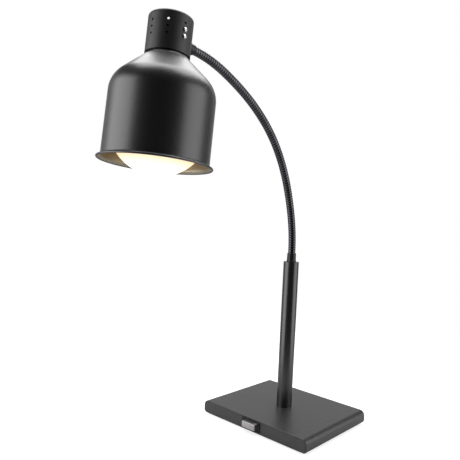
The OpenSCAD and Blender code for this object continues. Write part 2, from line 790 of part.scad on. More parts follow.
// Curved tube along a section, from s0 to s1
module bent_tube(k, s0, s1) {
    a0 = bend(k) * s0 / sec;
    a1 = bend(k) * s1 / sec;
    translate([0, -bend_r(k), 0]) rotate([90, 0, 90]) rotate([0, 0, a0])
        rotate_extrude(angle = a1 - a0, $fn = 96) translate([bend_r(k), 0]) difference() {
            circle(d = core_d);
            circle(d = core_bore);
        }
}

module at_section_end(k) {
    translate([0, on_arc(k, sec)[0], on_arc(k, sec)[1]]) rotate([bend(k), 0, 0]) children();
}

module neck_link(k) {
    first = k == 0;
    last = k == sections - 1;
    s0 = first ? 0 : joint_gap;
    s1 = last ? sec : sec - joint_gap;
    color("#8a8c90") at_section(k) {
        if (first) tube(core_d, core_bore, -neck_straight - hose_in, 0);
        if (!first) difference() {
            sphere(d = ball_d);
            rod(ball_bore, -ball_d, ball_d);
        }
        difference() {
            bent_tube(k, s0, s1);
            if (!last) at_section_end(k) sphere(d = ball_d + 2 * ball_gap);
        }
    }
}

// Head: fittings between neck and cap, from the cap's axis outward along +Y
module at_entry() { translate([0, cap_d / 2, entry_z]) rotate([-90, 0, 0]) children(); }

module upper_ferrule() {
    reach = 2;
    color("#202023") at_head() difference() {
        at_entry() {
            ferrule(upper_h, stem_in);
            difference() {
                rod(ferrule_d, -reach, eps);
                rod(thread_d - 1, -reach - cut, 0);
            }
        }
        difference() {
            rod(cap_d, entry_z - ferrule_d, entry_z + ferrule_d);
            at_entry() rod(thread_d, -stem_in - cut, cut);
        }
    }
}

module saddle_washer() {
    $fn = 160;
    color("#a8a9ab") at_head() difference() {
        intersection() {
            at_entry() rod(thread_d + 7, -cap_t - washer_in, 0);
            rod(2 * cap_in, entry_z - thread_d, entry_z + thread_d);
        }
        at_entry() rod(thread_d + 2 * fit, -stem_in, cut);
    }
}

module ferrule_nut() {
    z = -cap_t - washer_in;
    color("#a8a9ab") at_head() at_entry()
        hexagon(14, thread_d + 2 * thread_fit, z - ferrule_nut_t, z);
}

module cap() {
    r = cap_d / 2;
    section = concat([[r, cap_z]], arc(r - cap_edge, cap_top - cap_edge, cap_edge, 0, 90, 8),
        [[outlet_d / 2, cap_top], [outlet_d / 2, cap_top - cap_t]],
        arc(r - cap_edge, cap_top - cap_edge, cap_edge - cap_t, 90, 0, 8), [[cap_in, cap_z]]);
    color("#141416") at_head() difference() {
        rotate_extrude() polygon(section);
        for (c = [0:vent_columns - 1], i = [0:2]) {
            a = c * 360 / vent_columns;
            screwed = c == 0 && i < 2;
            covered = a == 90 && i < 2;
            if (!screwed && !covered) rotate([0, 0, a]) translate([r - 3, 0, vent_z + i * vent_pitch])
                rotate([0, 90, 0]) rod(vent_d, 0, 4);
        }
        for (i = [0:1]) translate([r - 3, 0, vent_z + i * vent_pitch]) rotate([0, 90, 0])
            rod(pan_shank + 2 * fit, 0, 4);
        at_entry() rod(thread_d + 2 * fit, -4, 2);
    }
}

module holder_bracket() {
    leg_top = vent_z + vent_pitch + 5;
    color("#a8a9ab") at_head() difference() {
        union() {
            block(-shelf_x, leg_x, -bracket_w / 2, bracket_w / 2, shelf_z, shelf_z + bracket_t);
            block(leg_x - bracket_t, leg_x, -bracket_w / 2, bracket_w / 2, shelf_z, leg_top);
        }
        for (x = [-1, 1]) translate([x * holder_screw_x, 0, 0]) rod(pan_shank + fit, shelf_z - cut, shelf_z + 3);
        for (i = [0:1]) translate([leg_x - 3, 0, vent_z + i * vent_pitch]) rotate([0, 90, 0])
            rod(pan_shank + fit, 0, 4);
    }
}

// Pan-head screw with a crossed recess, its head up from z = 0
module pan_screw(len) {
    difference() {
        union() {
            cylinder(d = pan_head, h = 1.2);
            translate([0, 0, 1.2 - eps]) cylinder(d1 = pan_head, d2 = pan_head * 0.6, h = 0.9);
            rod(pan_shank, -len, eps);
        }
        block(-pan_head / 4, pan_head / 4, -0.4, 0.4, 1, 3);
        block(-0.4, 0.4, -pan_head / 4, pan_head / 4, 1, 3);
    }
}

module bracket_screws() {
    color("#d6d6d4") at_head() for (i = [0:1])
        translate([cap_d / 2, 0, vent_z + i * vent_pitch]) rotate([0, 90, 0]) pan_screw(6);
}

module lampholder() {
    color("#e9e6de") at_head() difference() {
        union() {
            rod(skirt_d, holder_z, seat_z + eps);
            rod(holder_d, seat_z, holder_top);
        }
        rod(holder_bore, holder_z - cut, socket_z);
        rod(3, socket_z - cut, holder_top + cut);
        for (x = [-1, 1]) translate([x * holder_screw_x, 0, 0]) rod(pan_shank, holder_top - 8, holder_top + cut);
        translate([0, wire_hole_y, 0]) rod(6, holder_top - 7, holder_top + cut);
    }
}

module holder_shell() {
    inner = base_screw_d + 2 * shell_gap;
    color("#c9c3b0") at_head() tube(inner + 2 * shell_t, inner, base_z - 1, contact_z - 1.5);
}

module holder_contact() {
    color("#c9a94e") at_head() {
        rod(11, socket_z - 1, socket_z);
        rod(2.6, socket_z - eps, holder_top - 1);
        rod(5, tip_z, socket_z - 1 + eps);
    }
}

module holder_screws() {
    color("#c4c5c6") at_head() for (x = [-1, 1])
        translate([x * holder_screw_x, 0, shelf_z + bracket_t]) rotate([0, 0, 45]) pan_screw(7.5);
}

module head_wires() {
    y0 = cap_d / 2 - stem_in + 3;
    color("#e2ddd0") at_head() for (x = [-1.35, 1.35])
        wire([[x, y0, entry_z], [x, wire_hole_y + 2, entry_z], [x, wire_hole_y, entry_z - 3],
            [x, wire_hole_y, holder_top - 6]], wire_d + 0.3);
}

module shade() {
    flange_z = seat_z - shade_t;
    color("#18181b") at_head() rotate_extrude($fn = 128) {
        polygon(concat(shade_line(0), [[neck_r, seat_z], [neck_r - shade_t, seat_z]],
            turned(shade_line(shade_t))));
        translate([skirt_d / 2 + fit, flange_z]) square([neck_r - skirt_d / 2 - fit - eps, shade_t]);
        translate([rim_d / 2 - bead_d / 2, bead_d / 2]) circle(d = bead_d, $fn = 32);
    }
}

module shade_ring() {
    z = seat_z - shade_t;
    color("#8f9194") at_head() tube(skirt_d + 2 * ring_w, skirt_d + 2 * thread_fit, z - ring_h, z);
}

module bulb_glass() {
    color("#f3ead8", 0.8) at_head() rotate_extrude($fn = 96)
        polygon(concat(bulb_line(0), turned(bulb_line(glass_t))));
}

module bulb_base() {
    r = base_screw_d / 2;
    crests = [for (i = [0:base_turns - 1]) each
        [[r - 0.7, base_z + i * base_pitch], [r, base_z + (i + 0.5) * base_pitch]]];
    color("#c4a85a") at_head() rotate_extrude() polygon(concat(crests,
        [[r - 0.7, base_z + base_len], [6, base_z + base_len + 3], [6, base_z + base_len + 2],
        [r - 1, base_z + base_len - 1], [r - 1, base_z]]));
}

module bulb_contact() {
    color("#b9bbbd") at_head() {
        translate([0, 0, base_z + base_len + 1]) cylinder(d = 11.8, h = contact_z - base_z - base_len - 1);
        rod(8, contact_z - eps, tip_z);
    }
}

module bulb_filament() {
    z = bulb_wide + 22;
    stem = bulb_neck_z - 0.02;
    color("#ffd9a0") at_head() {
        rod(7, bulb_neck_z, base_z + base_len + 1);
        wire([[-2, 0, stem], [-3, 0, stem - 10], [-14, 0, z], [-7, 0, z - 4], [0, 0, z - 5],
            [7, 0, z - 4], [14, 0, z], [3, 0, stem - 10], [2, 0, stem]], 1.3);
    }
}

base_cover();
front_panel();
back_panel();
bottom_plate();
ballast_plate();
ballast_screws();
cover_screws();
rubber_feet();
switch_body();
switch_terminals();
switch_cover();
switch_rocker();
terminal_block();
terminal_clamps();
cable_gland();
gland_cap();
gland_nut();
live_wires();
neutral_wire();
earth_wire();
earth_screw();
pole();
pole_foot();
pole_stiffener();
pole_washer();
pole_nut();
pole_top_plug();
pole_cable();
lower_ferrule();
neck_hose(0);  // neck_hose_1
neck_hose(1);  // neck_hose_2
neck_hose(2);  // neck_hose_3
neck_hose(3);  // neck_hose_4
neck_hose(4);  // neck_hose_5
neck_hose(5);  // neck_hose_6
neck_hose(6);  // neck_hose_7
neck_link(0);  // neck_link_1
neck_link(1);  // neck_link_2
neck_link(2);  // neck_link_3
neck_link(3);  // neck_link_4
neck_link(4);  // neck_link_5
neck_link(5);  // neck_link_6
neck_link(6);  // neck_link_7
upper_ferrule();
saddle_washer();
ferrule_nut();
cap();
holder_bracket();
bracket_screws();
lampholder();
holder_shell();
holder_contact();
holder_screws();
head_wires();
shade();
shade_ring();
bulb_glass();
bulb_base();
bulb_contact();
bulb_filament();
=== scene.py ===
import bmesh
import bpy
import numpy as np
from mathutils import Matrix


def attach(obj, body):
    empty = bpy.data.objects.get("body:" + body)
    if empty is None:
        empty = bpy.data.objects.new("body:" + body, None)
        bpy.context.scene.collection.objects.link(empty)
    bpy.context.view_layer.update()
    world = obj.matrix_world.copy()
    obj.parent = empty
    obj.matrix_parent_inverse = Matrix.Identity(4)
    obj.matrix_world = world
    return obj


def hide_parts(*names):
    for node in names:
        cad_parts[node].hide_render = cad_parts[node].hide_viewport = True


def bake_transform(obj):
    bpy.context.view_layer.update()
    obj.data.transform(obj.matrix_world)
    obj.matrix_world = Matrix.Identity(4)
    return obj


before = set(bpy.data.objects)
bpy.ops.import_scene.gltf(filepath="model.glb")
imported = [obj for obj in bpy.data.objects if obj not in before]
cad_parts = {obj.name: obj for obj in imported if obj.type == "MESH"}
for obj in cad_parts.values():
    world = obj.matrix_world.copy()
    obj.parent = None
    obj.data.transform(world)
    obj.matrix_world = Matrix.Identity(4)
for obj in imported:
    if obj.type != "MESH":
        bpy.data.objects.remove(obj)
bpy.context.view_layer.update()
print("food heat lamp: frame loaded with", len(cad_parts), "solids")

# camera
camera = {
    "place": (589.2, -813.42, 401.42),   # mm
    "azimuth": 42.98,                    # degrees from +Y towards -X
    "elevation": 1.82,                   # degrees below the horizon
    "roll": -2.70,
    "lens": 39.68, "sensor": 36,         # mm
    "near": 0.05, "far": 50,             # metres
}


def lookAxes(azimuth, elevation, roll):
    # Right, down and forward of a view that turns about Z, then tips down, then rolls about its own axis
    a, e, r = np.radians([azimuth, elevation, roll])
    forward = np.array([-np.sin(a) * np.cos(e), np.cos(a) * np.cos(e), -np.sin(e)])
    right = np.array([np.cos(a), np.sin(a), 0.0])
    down = np.cross(forward, right)
    return np.cos(r) * right + np.sin(r) * down, -np.sin(r) * right + np.cos(r) * down, forward


right, down, forward = lookAxes(camera["azimuth"], camera["elevation"], camera["roll"])
lensData = bpy.data.cameras.new("studioCamera")
lensData.lens = camera["lens"]
lensData.sensor_width = camera["sensor"]
lensData.clip_start = camera["near"]
lensData.clip_end = camera["far"]
cameraObject = bpy.data.objects.new("studioCamera", lensData)
bpy.context.scene.collection.objects.link(cameraObject)
turned = np.eye(4)
turned[:3, 0], turned[:3, 1], turned[:3, 2] = right, -down, -forward
turned[:3, 3] = np.array(camera["place"]) / 1000
cameraObject.matrix_world = Matrix(turned.tolist())
bpy.context.scene.camera = cameraObject
print("camera set")


# small tools
def linear(hexColour):
    # sRGB hex to the linear values that the shaders use
    c = np.array([int(hexColour[i:i + 2], 16) for i in (1, 3, 5)]) / 255
    c = np.where(c <= 0.04045, c / 12.92, ((c + 0.055) / 1.055) ** 2.4)
    return (*c.tolist(), 1.0)


def addNode(tree, kind, settings=None, links=None):
    # A node with its settings, by property or socket name, and the sockets that feed it
    node = tree.nodes.new(kind)
    for key, value in (settings or {}).items():
        if isinstance(key, str) and hasattr(node, key):
            setattr(node, key, value)
        else:
            node.inputs[key].default_value = value
    for key, source in (links or {}).items():
        tree.links.new(source, node.inputs[key])
    return node


def stops(ramp, *pairs):
    # Colour stops of a ramp, as place and hex colour
    band = ramp.color_ramp
    while len(band.elements) < len(pairs):
        band.elements.new(0.5)
    for stop, (place, hexColour) in zip(band.elements, pairs):
        stop.position = place
        stop.color = linear(hexColour)
    return ramp


def gridFaces(rows, columns, wrapRows, wrapColumns):
    # Quads between neighbours of a grid of points, closed round on itself where asked
    i = np.arange(rows if wrapRows else rows - 1)
    j = np.arange(columns if wrapColumns else columns - 1)
    i, j = np.meshgrid(i, j, indexing="ij")
    k, n = (i + 1) % rows, (j + 1) % columns
    corners = [i * columns + j, k * columns + j, k * columns + n, i * columns + n]
    return np.stack(corners, -1).reshape(-1, 4)


def pieceFrom(name, points, faces, materials, faceMaterial=None, sharp=35):
    # A mesh object from arrays in mm: doubled points are joined, and the faces are turned to point
    # outwards. Edges that turn by more than the sharp angle, in degrees, keep a crease in the shading
    joinReach, flatReach = 1e-6, 1e-7
    mesh = bpy.data.meshes.new(name)
    metres = np.asarray(points).reshape(-1, 3) / 1000
    mesh.from_pydata(metres.tolist(), [], np.asarray(faces).tolist())
    for material in materials:
        mesh.materials.append(material)
    if faceMaterial is not None:
        mesh.polygons.foreach_set("material_index", np.asarray(faceMaterial, np.int32))
    work = bmesh.new()
    work.from_mesh(mesh)
    bmesh.ops.remove_doubles(work, verts=work.verts, dist=joinReach)
    bmesh.ops.dissolve_degenerate(work, edges=work.edges, dist=flatReach)
    if work.calc_volume(signed=True) < 0:
        bmesh.ops.reverse_faces(work, faces=work.faces)
    for edge in work.edges:
        edge.smooth = len(edge.link_faces) == 2 and edge.calc_face_angle(0) < np.radians(sharp)
    for face in work.faces:
        face.smooth = True
    work.to_mesh(mesh)
    work.free()
    piece = bpy.data.objects.new(name, mesh)
    bpy.context.scene.collection.objects.link(piece)
    return piece


def arcPoints(x, y, radius, start, end, count):
    # Points of a circle about x, y: radius cos a and radius sin a, from the start to the end in degrees
    a = np.radians(np.linspace(start, end, count + 1))
    return np.stack([x + radius * np.cos(a), y + radius * np.sin(a)], -1)


def revolved(profile, turns):
    # Each profile point, as radius and height, goes round the axis: x = r cos a, y = r sin a, z = height
    a = np.arange(turns) * 2 * np.pi / turns
    r, h = profile[:, 0, None], profile[:, 1, None]
    return np.stack([r * np.cos(a), r * np.sin(a), h + 0 * a], -1)


# finishes
def finish(name, values):
    # One real surface: a colour that drifts over some millimetres, a grain that lifts it, and a gloss
    # that follows the grain. The grain stands a quarter of its width high
    material = bpy.data.materials.new(name)
    material.use_nodes = True
    tree = material.node_tree
    shader = tree.nodes["Principled BSDF"]
    place = addNode(tree, "ShaderNodeTexCoord").outputs["Object"]
    if "stretch" in values:
        place = addNode(tree, "ShaderNodeMapping", {"Scale": values["stretch"]},
                        {"Vector": place}).outputs[0]
    drift = addNode(tree, "ShaderNodeTexNoise", {"Scale": 1000 / values["driftMm"], "Detail": 3.0},
                    {"Vector": place})
    grainKind = values.get("grainKind", "ShaderNodeTexNoise")
    grain = addNode(tree, grainKind, {"Scale": 1000 / values["grainMm"]}, {"Vector": place})
    height = grain.outputs["Distance" if grainKind == "ShaderNodeTexVoronoi" else 0]
    tone = stops(addNode(tree, "ShaderNodeValToRGB", None, {"Fac": drift.outputs[0]}),
                 (0.3, values["colour"]), (0.7, values["colourTwo"]))
    glossiest, dullest = values["roughness"]
    gloss = addNode(tree, "ShaderNodeMapRange",
                    {"To Min": glossiest, "To Max": dullest}, {"Value": height})
    bump = addNode(tree, "ShaderNodeBump",
                   {"Strength": values["bump"], "Distance": values["grainMm"] / 4000}, {"Height": height})
    tree.links.new(tone.outputs[0], shader.inputs["Base Color"])
    tree.links.new(gloss.outputs[0], shader.inputs["Roughness"])
    tree.links.new(bump.outputs[0], shader.inputs["Normal"])
    for socket in ("Metallic", "IOR", "Specular IOR Level", "Coat Weight", "Coat Roughness",
                   "Transmission Weight"):
        if socket in values:
            shader.inputs[socket].default_value = values[socket]
    return material


# Satin black powder coat over spun aluminium: deep black that turns grey where it mirrors a bright wall
shadeCoat = finish("satinPowderCoatShade", {
    "colour": "#07070B", "colourTwo": "#0C0C11", "driftMm": 60,
    "grainMm": 3.0, "bump": 0.10,        # the real grain is 0.3 mm, drawn coarser to show
    "roughness": (0.33, 0.39), "Specular IOR Level": 1.0})
# Spun aluminium, left bare: metal with rings from the spinning tool, in a beige that is painted warm
# light from the lit bulb
spunInside = finish("spunAluminiumInside", {
    "colour": "#A69D8C", "colourTwo": "#958B79", "driftMm": 40, "stretch": (0.06, 0.06, 1.0),
    "grainMm": 2.0, "bump": 0.22, "roughness": (0.38, 0.52), "Metallic": 0.85})
# Fine-textured matt black powder coat: no clear reflections, a dry and slightly sparkling black
capCoat = finish("finetexturePowderCoatCap", {
    "colour": "#0A0A0E", "colourTwo": "#111115", "driftMm": 30,
    "grainMm": 1.8, "bump": 0.45, "roughness": (0.42, 0.54), "Specular IOR Level": 0.7})
# Satin black stoved paint on drawn steel tube: two soft streaks of light down its length
polePaint = finish("satinStovedPaintPole", {
    "colour": "#0D0D0F", "colourTwo": "#121214", "driftMm": 50, "stretch": (1.0, 1.0, 0.2),
    "grainMm": 2.4, "bump": 0.06, "roughness": (0.27, 0.33), "Specular IOR Level": 0.9})
# Black oxide on turned steel: glossy near-black with faint tool rings
ferruleOxide = finish("blackOxideTurnedSteel", {
    "colour": "#1B1B1E", "colourTwo": "#242427", "driftMm": 12, "stretch": (0.2, 0.2, 1.0),
    "grainMm": 0.9, "bump": 0.10, "roughness": (0.20, 0.28), "Metallic": 0.5})


def woundChrome(values):
    # Black chrome on wound steel wire: each turn's crest is a dark mirror that beads the light, and
    # its groove is painted near black, for dirt and for painted shade where the turns shade each other
    material = finish("blackChromeWoundSteel", values)
    tree = material.node_tree
    shader = tree.nodes["Principled BSDF"]
    crest = addNode(tree, "ShaderNodeAttribute", {"attribute_name": "crest"}).outputs["Fac"]
    worn = shader.inputs["Base Color"].links[0].from_socket
    colour = addNode(tree, "ShaderNodeMix", {"data_type": "RGBA", 6: linear(values["grooveDirtAndShadeColour"])},
                     {0: crest, 7: worn}).outputs[2]
    tree.links.new(colour, shader.inputs["Base Color"])
    return material


# The groove colour is painted shade with some dirt: near black down between the wire's turns
hoseChrome = woundChrome({
    "colour": "#5A5A5E", "colourTwo": "#4C4C50", "grooveDirtAndShadeColour": "#020203", "driftMm": 18,
    "grainMm": 1.5, "bump": 0.05, "roughness": (0.12, 0.20), "Metallic": 1.0})
# Satin fine-texture powder coat on folded steel sheet: charcoal that goes pale grey at a low angle
baseCoat = finish("satinPowderCoatBase", {
    "colour": "#222223", "colourTwo": "#2D2D2E", "driftMm": 4,
    "grainMm": 3.4, "bump": 0.7,         # the real grain is 0.5 mm, drawn coarser to show
    "roughness": (0.30, 0.40), "Specular IOR Level": 0.7})
# Zinc-plated steel: cool grey metal with a faint spangle
zincSteel = finish("zincPlatedSteel", {
    "colour": "#9A9CA0", "colourTwo": "#84868B", "driftMm": 9, "grainKind": "ShaderNodeTexVoronoi",
    "grainMm": 2.5, "bump": 0.08, "roughness": (0.30, 0.42), "Metallic": 1.0})
# Polished steel screw heads: small bright mirrors
polishedSteel = finish("polishedSteelScrews", {
    "colour": "#E4E3E0", "colourTwo": "#D2D1CE", "driftMm": 4,
    "grainMm": 0.6, "bump": 0.04, "roughness": (0.12, 0.20), "Metallic": 1.0})
# Moulded black rubber: dull, dark, lightly dusty
feetRubber = finish("mouldedRubberFeet", {
    "colour": "#1C1C1D", "colourTwo": "#242425", "driftMm": 6,
    "grainMm": 0.8, "bump": 0.3, "roughness": (0.66, 0.82)})
# Moulded black polyamide: semi-gloss with a fine spark-eroded texture
switchPlastic = finish("mouldedPolyamideBlack", {
    "colour": "#121213", "colourTwo": "#19191A", "driftMm": 10,
    "grainMm": 0.7, "bump": 0.2, "roughness": (0.30, 0.42)})
# Moulded grey switch rocker: smooth, slightly worn to a shine
rockerPlastic = finish("mouldedRockerGrey", {
    "colour": "#A9A8AB", "colourTwo": "#9B9A9D", "driftMm": 8,
    "grainMm": 0.8, "bump": 0.08, "roughness": (0.28, 0.40)})
# Natural nylon terminal block: waxy cream white
nylonBlock = finish("mouldedNylonNatural", {
    "colour": "#DCD6C6", "colourTwo": "#D0C9B7", "driftMm": 8,
    "grainMm": 0.8, "bump": 0.12, "roughness": (0.42, 0.54)})
# Glazed ceramic lampholder: white body under a clear, slightly wavy glaze
glazedCeramic = finish("glazedCeramicHolder", {
    "colour": "#E6E1D6", "colourTwo": "#DAD4C6", "driftMm": 14,
    "grainMm": 3.0, "bump": 0.12, "roughness": (0.14, 0.24),
    "Coat Weight": 0.5, "Coat Roughness": 0.06})
# Plain turned brass: warm yellow metal, a little tarnished
turnedBrass = finish("turnedBrassPlain", {
    "colour": "#C8A45A", "colourTwo": "#A98546", "driftMm": 6, "stretch": (0.3, 0.3, 1.0),
    "grainMm": 0.6, "bump": 0.15, "roughness": (0.24, 0.38), "Metallic": 1.0})
# Silicone and PVC wire sleeves: smooth, soft, faintly ribbed by the braid below
sleeve = {"driftMm": 10, "grainMm": 0.9, "bump": 0.25, "roughness": (0.45, 0.6)}
brownSleeve = finish("extrudedSleeveBrown", {**sleeve, "colour": "#6B4128", "colourTwo": "#5D3722"})
blueSleeve = finish("extrudedSleeveBlue", {**sleeve, "colour": "#3566A8", "colourTwo": "#2C5793"})
greenSleeve = finish("extrudedSleeveGreen", {**sleeve, "colour": "#6E9A2E", "colourTwo": "#C8B93A"})
whiteSleeve = finish("glassfibreSleeveWhite", {**sleeve, "colour": "#D9D5CA", "colourTwo": "#C9C4B6"})
# Drawn aluminium of the neck's ball links: pale satin metal
linkAluminium = finish("drawnAluminiumLinks", {
    "colour": "#A5A7AA", "colourTwo": "#929498", "driftMm": 8,
    "grainMm": 0.8, "bump": 0.1, "roughness": (0.30, 0.42), "Metallic": 1.0})
# Coiled tungsten wire: hot grey metal
tungstenWire = finish("drawnTungstenWire", {
    "colour": "#8C8478", "colourTwo": "#7A7267", "driftMm": 4,
    "grainMm": 0.5, "bump": 0.1, "roughness": (0.3, 0.45), "Metallic": 1.0})


def clearBoot(values):
    # Moulded clear PVC, soft and thin: crinkled, and silvery where the crinkles catch the light
    material = finish("mouldedClearPvcCover", values)
    tree = material.node_tree
    shader = tree.nodes["Principled BSDF"]
    place = addNode(tree, "ShaderNodeTexCoord").outputs["Object"]
    crease = addNode(tree, "ShaderNodeTexNoise",
                     {"Scale": 1000 / values["creaseMm"], "Detail": 2.0,
                      "Distortion": values["creaseTwist"]},
                     {"Vector": place})
    fine = shader.inputs["Normal"].links[0].from_socket
    lift = addNode(tree, "ShaderNodeBump",
                   {"Strength": values["creaseBump"], "Distance": values["creaseHighMm"] / 1000},
                   {"Height": crease.outputs[0], "Normal": fine})
    tree.links.new(lift.outputs[0], shader.inputs["Normal"])
    return material


# The cover's side walls, moulded clear PVC close over the black bezel: glossy black
bootSide = finish("mouldedClearPvcOverBlack", {
    "colour": "#141414", "colourTwo": "#1D1B1B", "driftMm": 6,
    "grainMm": 1.2, "bump": 0.25, "roughness": (0.24, 0.36), "Specular IOR Level": 0.6})
# The film's pale grey colour is a painted sheen: it stands for the light the crinkled clear film reflects
# over the black switch
bootPvc = clearBoot({
    "colour": "#BDB9BB", "colourTwo": "#A9A5A8", "driftMm": 5,
    "creaseMm": 3.2, "creaseHighMm": 1.2, "creaseTwist": 1.2, "creaseBump": 0.75,
    "grainMm": 0.9, "bump": 0.15, "roughness": (0.20, 0.34), "Transmission Weight": 0.25, "IOR": 1.53})


def litGlass(values):
    # Pressed glass, frosted inside, with the lamp lit: white over the face and cream to amber
    # up the sides
    material = bpy.data.materials.new("frostedGlassLit")
    material.use_nodes = True
    tree = material.node_tree
    shader = tree.nodes["Principled BSDF"]
    glow = addNode(tree, "ShaderNodeAttribute", {"attribute_name": "glow"}).outputs["Fac"]
    place = addNode(tree, "ShaderNodeTexCoord").outputs["Object"]
    frost = addNode(tree, "ShaderNodeTexNoise", {"Scale": 1000 / values["frostMm"], "Detail": 4.0},
                    {"Vector": place})
    colour = stops(addNode(tree, "ShaderNodeValToRGB", None, {"Fac": glow}),
                   (0.0, values["neckColour"]), (0.45, values["edgeColour"]),
                   (0.85, values["faceColour"]))
    power = addNode(tree, "ShaderNodeMapRange",
                    {"To Min": values["power"][0], "To Max": values["power"][1]}, {"Value": glow})
    bump = addNode(tree, "ShaderNodeBump",
                   {"Strength": values["frostBump"], "Distance": values["frostHighMm"] / 1000},
                   {"Height": frost.outputs[0]})
    shader.inputs["Base Color"].default_value = linear(values["unlitColour"])
    tree.links.new(colour.outputs[0], shader.inputs["Emission Color"])
    tree.links.new(power.outputs[0], shader.inputs["Emission Strength"])
    tree.links.new(bump.outputs[0], shader.inputs["Normal"])
    shader.inputs["Roughness"].default_value = values["roughness"]
    return material


bulbFrost = litGlass({
    "neckColour": "#E0B878", "edgeColour": "#F8DCAC", "faceColour": "#FFF8EC", "unlitColour": "#5E5A54",
    "power": (0.50, 1.7), "roughness": 0.45, "frostMm": 1.5, "frostHighMm": 0.3, "frostBump": 0.2})
print("finishes made")

# solids that keep their own shape
nodeFinish = {
    "front_panel": baseCoat, "back_panel": baseCoat, "bottom_plate": zincSteel,
    "ballast_plate": zincSteel, "ballast_screws": zincSteel, "cover_screws": zincSteel,
    "rubber_feet": feetRubber,
    "switch_body": switchPlastic, "switch_terminals": turnedBrass, "switch_rocker": rockerPlastic,
    "terminal_block": nylonBlock, "terminal_clamps": turnedBrass, "cable_gland": switchPlastic,
    "gland_cap": switchPlastic, "gland_nut": switchPlastic, "live_wires": brownSleeve,
    "neutral_wire": blueSleeve, "earth_wire": greenSleeve, "earth_screw": turnedBrass,
    "pole_foot": zincSteel, "pole_stiffener": zincSteel, "pole_washer": zincSteel, "pole_nut": zincSteel,
    "pole_top_plug": polePaint, "pole_cable": whiteSleeve, "saddle_washer": zincSteel,
    "ferrule_nut": zincSteel, "cap": capCoat, "holder_bracket": zincSteel,
    "bracket_screws": polishedSteel, "lampholder": glazedCeramic, "holder_shell": turnedBrass,
    "holder_contact": turnedBrass, "holder_screws": zincSteel, "head_wires": whiteSleeve,
    "shade_ring": zincSteel, "bulb_base": turnedBrass, "bulb_contact": turnedBrass,
    "bulb_filament": tungstenWire}
for name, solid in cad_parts.items():
    material = nodeFinish.get(name, linkAluminium)
    if not solid.material_slots:
        solid.data.materials.append(material)
    for slot in solid.material_slots:
        slot.material = material
print("solids dressed")

# base cover
base = {"width": 246, "depth": 200, "height": 24, "sheet": 1.5, "rollRadius": 10, "underRadius": 6,
        "lip": 13, "lift": 3, "edge": 0.7, "underSteps": 12, "rollSteps": 28, "edgeSteps": 3,
        "creaseAngle": 40}


def coverOutline(inset):
    # Section of the folded sheet, from its right lip over the rolled shoulder, then the same mirrored
    half, r, u = base["width"] / 2, base["rollRadius"], base["underRadius"]
    side = np.vstack([[[half - base["lip"], inset]],
                      arcPoints(half - u, u, u - inset, -90, 0, base["underSteps"]),
                      arcPoints(half - r, base["height"] - r, r - inset, 0, 90, base["rollSteps"])])
    return np.vstack([side, side[::-1] * [-1, 1]])


def buildCover():
    # The section is carried straight along Y: outer and inner skin, joined by both cut edges
    # and both lips
    outer, inner = coverOutline(0), coverOutline(base["sheet"])
    ring = np.vstack([outer, inner[::-1]])
    ends = np.array([-base["depth"] / 2, base["depth"] / 2])
    points = np.stack([np.repeat(ring[None, :, 0], 2, 0), np.repeat(ends[:, None], len(ring), 1),
                       np.repeat(ring[None, :, 1] + base["lift"], 2, 0)], -1)
    faces = gridFaces(2, len(ring), False, True)
    n = len(outer)
    i = np.arange(n - 1)
    cut = np.stack([i, i + 1, 2 * n - 2 - i, 2 * n - 1 - i], -1)
    faces = np.vstack([faces, cut, (cut + 2 * n)[:, ::-1]])
    piece = pieceFrom("baseCoverSheet", points, faces, [baseCoat])
    bevel = piece.modifiers.new("foldedEdge", "BEVEL")
    bevel.width = base["edge"] / 1000
    bevel.segments = base["edgeSteps"]
    bevel.limit_method = "ANGLE"
    bevel.angle_limit = np.radians(base["creaseAngle"])
    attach(piece, "stand")
    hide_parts("base_cover")


buildCover()
print("base cover built")

# pole and lower ferrule
pole = {"foot": 27, "top": 313, "radius": 15, "wall": 1.5, "chamfer": 0.5, "chamferMiddle": 0.3,
        "turns": 96}
ferrule = {"length": 17, "headLength": 14, "footRadius": 9.3, "mouthRadius": 8.55, "bore": 7.4,
           "depth": 10, "throat": 4.0, "collar": 2.5, "step": 0.35, "chamfer": 0.3, "taperStop": 1,
           "edge": 0.6, "edgeSteps": 6, "boreChamfer": (0.1, 0.2), "turns": 64, "sunk": 2}


def buildPole():
    # Tube wall as a closed section: outside up to a small chamfer, over the rim, and down the bore
    r, top, foot, c = pole["radius"], pole["top"], pole["foot"], pole["chamfer"]
    bore, soft = r - pole["wall"], c * pole["chamferMiddle"]
    section = np.array([[r, foot], [r, top - c], [r - soft, top - soft], [r - c, top],
                        [bore, top], [bore, foot]], float)
    points = revolved(section, pole["turns"])
    faces = gridFaces(len(section), pole["turns"], True, True)
    piece = pieceFrom("poleTube", points, faces, [polePaint])
    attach(piece, "stand")
    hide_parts("pole")


def ferruleSection(length):
    # Turned sleeve: a narrow collar at the foot, a long taper, a rounded mouth and the bore for
    # the hose
    f = ferrule
    foot, mouth, bore, edge, c = f["footRadius"], f["mouthRadius"], f["bore"], f["edge"], f["chamfer"]
    wider, deep = f["boreChamfer"]
    return np.vstack([
        [[f["throat"], 0], [foot - c, 0], [foot, c], [foot, f["collar"] - c],
         [foot - f["step"], f["collar"]], [mouth, length - edge - f["taperStop"]]],
        arcPoints(mouth - edge, length - edge, edge, 0, 90, f["edgeSteps"]),
        [[bore + wider, length], [bore, length - deep], [bore, length - f["depth"]],
         [f["throat"], length - f["depth"]]]])


def buildLowerFerrule():
    section = ferruleSection(ferrule["length"])
    points = revolved(section, ferrule["turns"]) + [0, 0, pole["top"]]
    faces = gridFaces(len(section), ferrule["turns"], True, True)
    piece = pieceFrom("lowerFerruleSleeve", points, faces, [ferruleOxide], sharp=25)
    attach(piece, "stand")
    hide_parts("lower_ferrule")


buildPole()
buildLowerFerrule()
print("pole and ferrule built")

